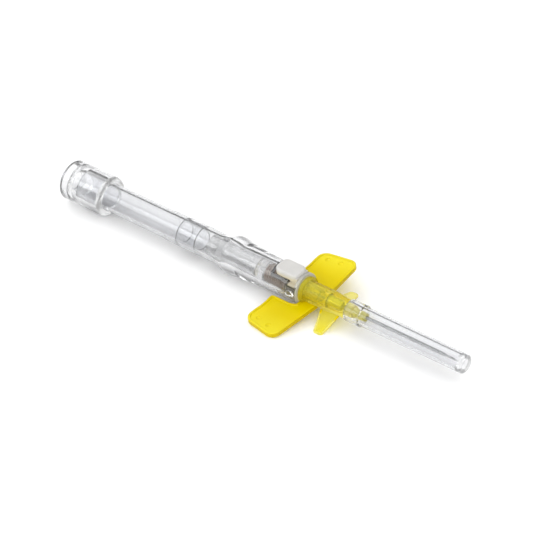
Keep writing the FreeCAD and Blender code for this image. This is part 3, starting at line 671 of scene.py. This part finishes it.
finShape = {
    "root": (2.8, 7.7), "tip": (4.95, 6.85), "inner": 0.5, "reach": {1: 5.97, -1: 6.66}, "corner": 0.7,
    "top": -1.05, "bottom": -1.4, "droop": {1: 5.0, -1: 20.7}, "rimWidth": 0.3, "rimHeight": 0.13, "softness": 0.1,
}


def mirrored(points, side):
    flipped = [(point[0], point[1] * side, *point[2:]) for point in points]
    return flipped if side > 0 else flipped[::-1]


def makeWing(shape, side):
    corners = mirrored(shape["corners"], side)
    bm = plateMesh(mirrored(shape["outline"], side), shape["bottom"], shape["top"], corners)
    sinkFace(bm, shape["rimWidth"], shape["rimHeight"], shape["softness"])
    wing = rawObject(bm, "wing")
    for x, y in shape["marks"]:
        mark = bmesh.new()
        bmesh.ops.create_uvsphere(mark, u_segments=32, v_segments=16, radius=shape["markRadius"] * mm)
        bmesh.ops.scale(mark, vec=(1, 1, shape["markFlatness"]), verts=mark.verts)
        surface = shape["top"] - shape["rimHeight"]
        up = surface + shape["markRadius"] * shape["markFlatness"] - shape["markDepth"]
        bmesh.ops.translate(mark, verts=mark.verts, vec=at(x, y * side, up))
        combine(wing, rawObject(mark, "mark"), "DIFFERENCE")
    return wing


def makeFin(shape, side):
    reach = shape["reach"][side]
    rootBack, rootFront = shape["root"]
    tipBack, tipFront = shape["tip"]
    outline = [(rootBack, shape["inner"]), (rootFront, shape["inner"]), (tipFront, reach), (tipBack, reach)]
    corners = mirrored([(tipFront, reach, shape["corner"]), (tipBack, reach, shape["corner"])], side)
    bm = plateMesh(mirrored(outline, side), shape["bottom"], shape["top"], corners)
    sinkFace(bm, shape["rimWidth"], shape["rimHeight"], shape["softness"])
    lean = Matrix.Rotation(math.radians(-shape["droop"][side] * side), 3, "X")
    bmesh.ops.rotate(bm, verts=bm.verts, cent=at(0, 0, shape["bottom"]), matrix=lean)
    return rawObject(bm, "fin")


def makeHub(shape):
    profile = [
        (shape["rear"], 0), (shape["rear"], shape["rimRadius"]), (shape["rimFront"], shape["rimRadius"]),
        (shape["rimFront"], shape["bodyRadius"]), (shape["bodyFront"], shape["bodyRadius"]),
        (shape["face"], shape["neckRadius"]), (shape["face"], shape["seatRadius"]),
        (shape["seatFront"], shape["seatRadius"]), (shape["seatFront"], shape["noseRadius"]),
        (shape["noseEnd"], shape["noseRadius"]), (shape["noseEnd"], 0),
    ]
    rounds = [
        (shape["rear"], shape["rimRadius"], *shape["rimRound"]),
        (shape["rimFront"], shape["rimRadius"], *shape["rimRound"]),
        (shape["rimFront"], shape["bodyRadius"], *shape["rootRound"]),
        (shape["face"], shape["neckRadius"], *shape["faceRound"]),
        (shape["seatFront"], shape["seatRadius"], *shape["seatRound"]),
        (shape["noseEnd"], shape["noseRadius"], *shape["noseRound"]),
    ]
    hub = rawObject(spunMesh(profile, closed=False, rounds=rounds), "hubWinged")
    for side in (1, -1):
        combine(hub, makeWing(wingShape, side), "UNION")
        combine(hub, makeFin(finShape, side), "UNION")
    combine(hub, box(*shape["foot"]), "UNION")
    keel = slabMesh([at(x, -shape["keelWidth"] / 2, up) for x, up in shape["keel"]], (0, shape["keelWidth"], 0))
    combine(hub, rawObject(keel, "keel"), "UNION")
    bore = [(shape["bore"][0][0], 0), *shape["bore"], (shape["bore"][-1][0], 0)]
    combine(hub, rawObject(spunMesh(bore, closed=False), "bore"), "DIFFERENCE")
    finishPiece(hub, "catheter", wingYellow, replaced=["catheter_hub"], sharpAngle=30)
    colourTube(hub, shape, wingShape)
    return hub


# The tube, foot and keel are see-through yellow, and what lies ahead of the front face is paler
def colourTube(hub, shape, wing, margin=0.02, skin=0.01):
    hub.data.materials.append(tubeYellow)
    hub.data.materials.append(noseYellow)
    for polygon in hub.data.polygons:
        middle = polygon.center
        onTube = radiusOf(middle) < shape["rimRadius"] + margin and abs(middle.y) < shape["tubeHalfWidth"] * mm
        onPlate = (wing["bottom"] - skin) * mm < middle.z - axisPoint.z < (wing["top"] + skin) * mm
        if (onTube and not onPlate) or middle.z < at(0, 0, -shape["rimRadius"]).z:
            polygon.material_index = 2 if middle.x > (shape["face"] - margin) * mm else 1


tubeShape = {  # flared and straight are the outer and the inner radius
    "rear": 4.46, "neck": 7.86, "neckEnd": 8.21, "flared": (0.92, 0.83), "straight": (0.36, 0.27),
    "taper": 31.4, "end": 32.7, "tip": 0.29,
}
wedgeShape = {
    "rear": 4.25, "flange": 4.45, "front": 7.85, "flangeRadius": 1.2, "radius": 0.82, "bore": 0.72,
    "flangeRound": (0.05, 2),
}


def makeTube(shape, wedge):
    outer, inner = shape["flared"]
    thinOuter, thinInner = shape["straight"]
    profile = [
        (shape["rear"], inner), (shape["rear"], outer), (shape["neck"], outer), (shape["neckEnd"], thinOuter),
        (shape["taper"], thinOuter), (shape["end"], shape["tip"]), (shape["end"], thinInner),
        (shape["neckEnd"], thinInner), (shape["neck"], inner),
    ]
    spunPiece("catheterTubeClear", profile, "catheter", clearTube, replaced=["catheter_tube"])
    sleeve = [
        (wedge["rear"], wedge["bore"]), (wedge["rear"], wedge["flangeRadius"]),
        (wedge["flange"], wedge["flangeRadius"]), (wedge["flange"], wedge["radius"]),
        (wedge["front"], wedge["radius"]), (wedge["front"], wedge["bore"]),
    ]
    rounds = [(wedge["rear"], wedge["flangeRadius"], *wedge["flangeRound"])]
    spunPiece("wedgeEyelet", sleeve, "catheter", wedgeSteel, rounds=rounds, replaced=["catheter_wedge"])


coverShape = {
    "rear": 9.4, "collarFront": 13.0, "front": 37.4, "collarRadius": 2.25, "radius": 1.97, "frontRadius": 1.9,
    "bore": 1.39, "boreEnd": 36.3, "rearRound": (0.2, 4), "collarRound": (0.15, 3), "tipRound": (0.3, 5),
    "boreRound": (0.25, 4),
}


def makeCover(shape):
    profile = [
        (shape["rear"], shape["bore"]), (shape["rear"], shape["collarRadius"]),
        (shape["collarFront"], shape["collarRadius"]), (shape["collarFront"], shape["radius"]),
        (shape["front"], shape["frontRadius"]), (shape["front"], 0), (shape["boreEnd"], 0),
        (shape["boreEnd"], shape["bore"]),
    ]
    rounds = [
        (shape["rear"], shape["collarRadius"], *shape["rearRound"]),
        (shape["collarFront"], shape["collarRadius"], *shape["collarRound"]),
        (shape["front"], shape["frontRadius"], *shape["tipRound"]),
        (shape["boreEnd"], shape["bore"], *shape["boreRound"]),
    ]
    return spunPiece("needleCoverClear", profile, "cover", clearCover, rounds=rounds, replaced=["needle_cover"])


makeEndCap(capShape)
makeBarrel(barrelShape)
makeGrip(gripShape)
print("cap, barrel and grip done")
makeSpring(springShape)
makeCarriage(carriageShape)
makeButton(buttonShape)
print("button, spring and carriage done")
makeHub(hubShape)
makeTube(tubeShape, wedgeShape)
makeCover(coverShape)
print("hub, catheter and cover done")


stageLook = {"tilt": 8.12, "gap": 0.05, "size": 3.0}   # degrees, mm and m
lightLook = {
    "world": 1.06, "bounces": 32,
    "sky": [(0.0, 0.9), (0.02, 0.01), (0.22, 0.02), (0.36, 0.9), (1.0, 1.0)],  # height and level
    "lamps": [                                             # name, watts, width in m and place in m
        ("softbox", 2.0, 0.8, (-0.8, 0.2, 0.7)),
        ("bandLight", 1.1, 0.42, (-0.543, -0.62, 0.56)),
        ("frontFill", 6.0, 1.0, (0.55, -0.78, 0.55)),
    ],
}
cameraPlace = {
    "position": (311.88, -327.39, 382.84),
    "back": (0.5433, -0.5500, 0.6343),
    "right": (0.7594, 0.6441, -0.0919),
    "up": (-0.3580, 0.5316, 0.7676),
    "fieldOfView": 10.0,
    "sensor": 36,
    "clip": (0.01, 10),
}


# The part is seen rolled about its own axis, so the floor leans by as much and lies one radius below that axis
def makeFloor():
    bm = bmesh.new()
    bmesh.ops.create_grid(bm, x_segments=2, y_segments=2, size=stageLook["size"] / 2)
    lean = math.radians(stageLook["tilt"])
    bmesh.ops.rotate(bm, verts=bm.verts, cent=(0, 0, 0), matrix=Matrix.Rotation(-lean, 3, "X"))
    drop = axisHeight + stageLook["gap"]
    bmesh.ops.translate(bm, verts=bm.verts, vec=Vector((0, 0, axisHeight - drop / math.cos(lean))) * mm)
    floor = rawObject(bm, "floor")
    graph = newMaterial("whiteFloor")
    graph.set(Base_Color=(1.0, 1.0, 1.0, 1), Roughness=1.0, Specular_IOR_Level=0.0)
    floor.data.materials.append(graph.owner)


# Bright overhead, dark just above the horizon, as in a small studio tent
def makeWorld():
    world = bpy.data.worlds.new("studio")
    bpy.context.scene.world = world
    graph = Graph(world, "Background")
    height = graph.parts(graph.add("ShaderNodeTexCoord", {}, out=0))[2]
    stops = [(place, (level, level, level, 1)) for place, level in lightLook["sky"]]
    graph.set(Color=graph.add("ShaderNodeValToRGB", {"stops": stops}, height), Strength=lightLook["world"])


def makeLamps():
    for name, power, size, place in lightLook["lamps"]:
        lamp = bpy.data.lights.new(name, "AREA")
        lamp.shape = "SQUARE"
        lamp.size = size
        lamp.energy = power
        holder = bpy.data.objects.new(name, lamp)
        bpy.context.scene.collection.objects.link(holder)
        holder.location = place
        holder.rotation_mode = "QUATERNION"
        holder.rotation_quaternion = Vector(place).to_track_quat("Z", "Y")


def makeCamera():
    camera = bpy.data.cameras.new("camera")
    camera.sensor_width = cameraPlace["sensor"]
    camera.lens = camera.sensor_width / 2 / math.tan(math.radians(cameraPlace["fieldOfView"] / 2))
    camera.clip_start, camera.clip_end = cameraPlace["clip"]
    holder = bpy.data.objects.new("camera", camera)
    bpy.context.scene.collection.objects.link(holder)
    turn = Matrix((cameraPlace["right"], cameraPlace["up"], cameraPlace["back"])).transposed()
    holder.matrix_world = Matrix.Translation(Vector(cameraPlace["position"]) * mm) @ turn.to_4x4()
    bpy.context.scene.camera = holder


makeFloor()
makeWorld()
makeLamps()
makeCamera()
lightPaths = bpy.context.scene.cycles
lightPaths.max_bounces = lightLook["bounces"]
lightPaths.transmission_bounces = lightLook["bounces"]
lightPaths.transparent_max_bounces = lightLook["bounces"]
bpy.context.scene.view_settings.view_transform = "Standard"
print("floor, light and camera done")
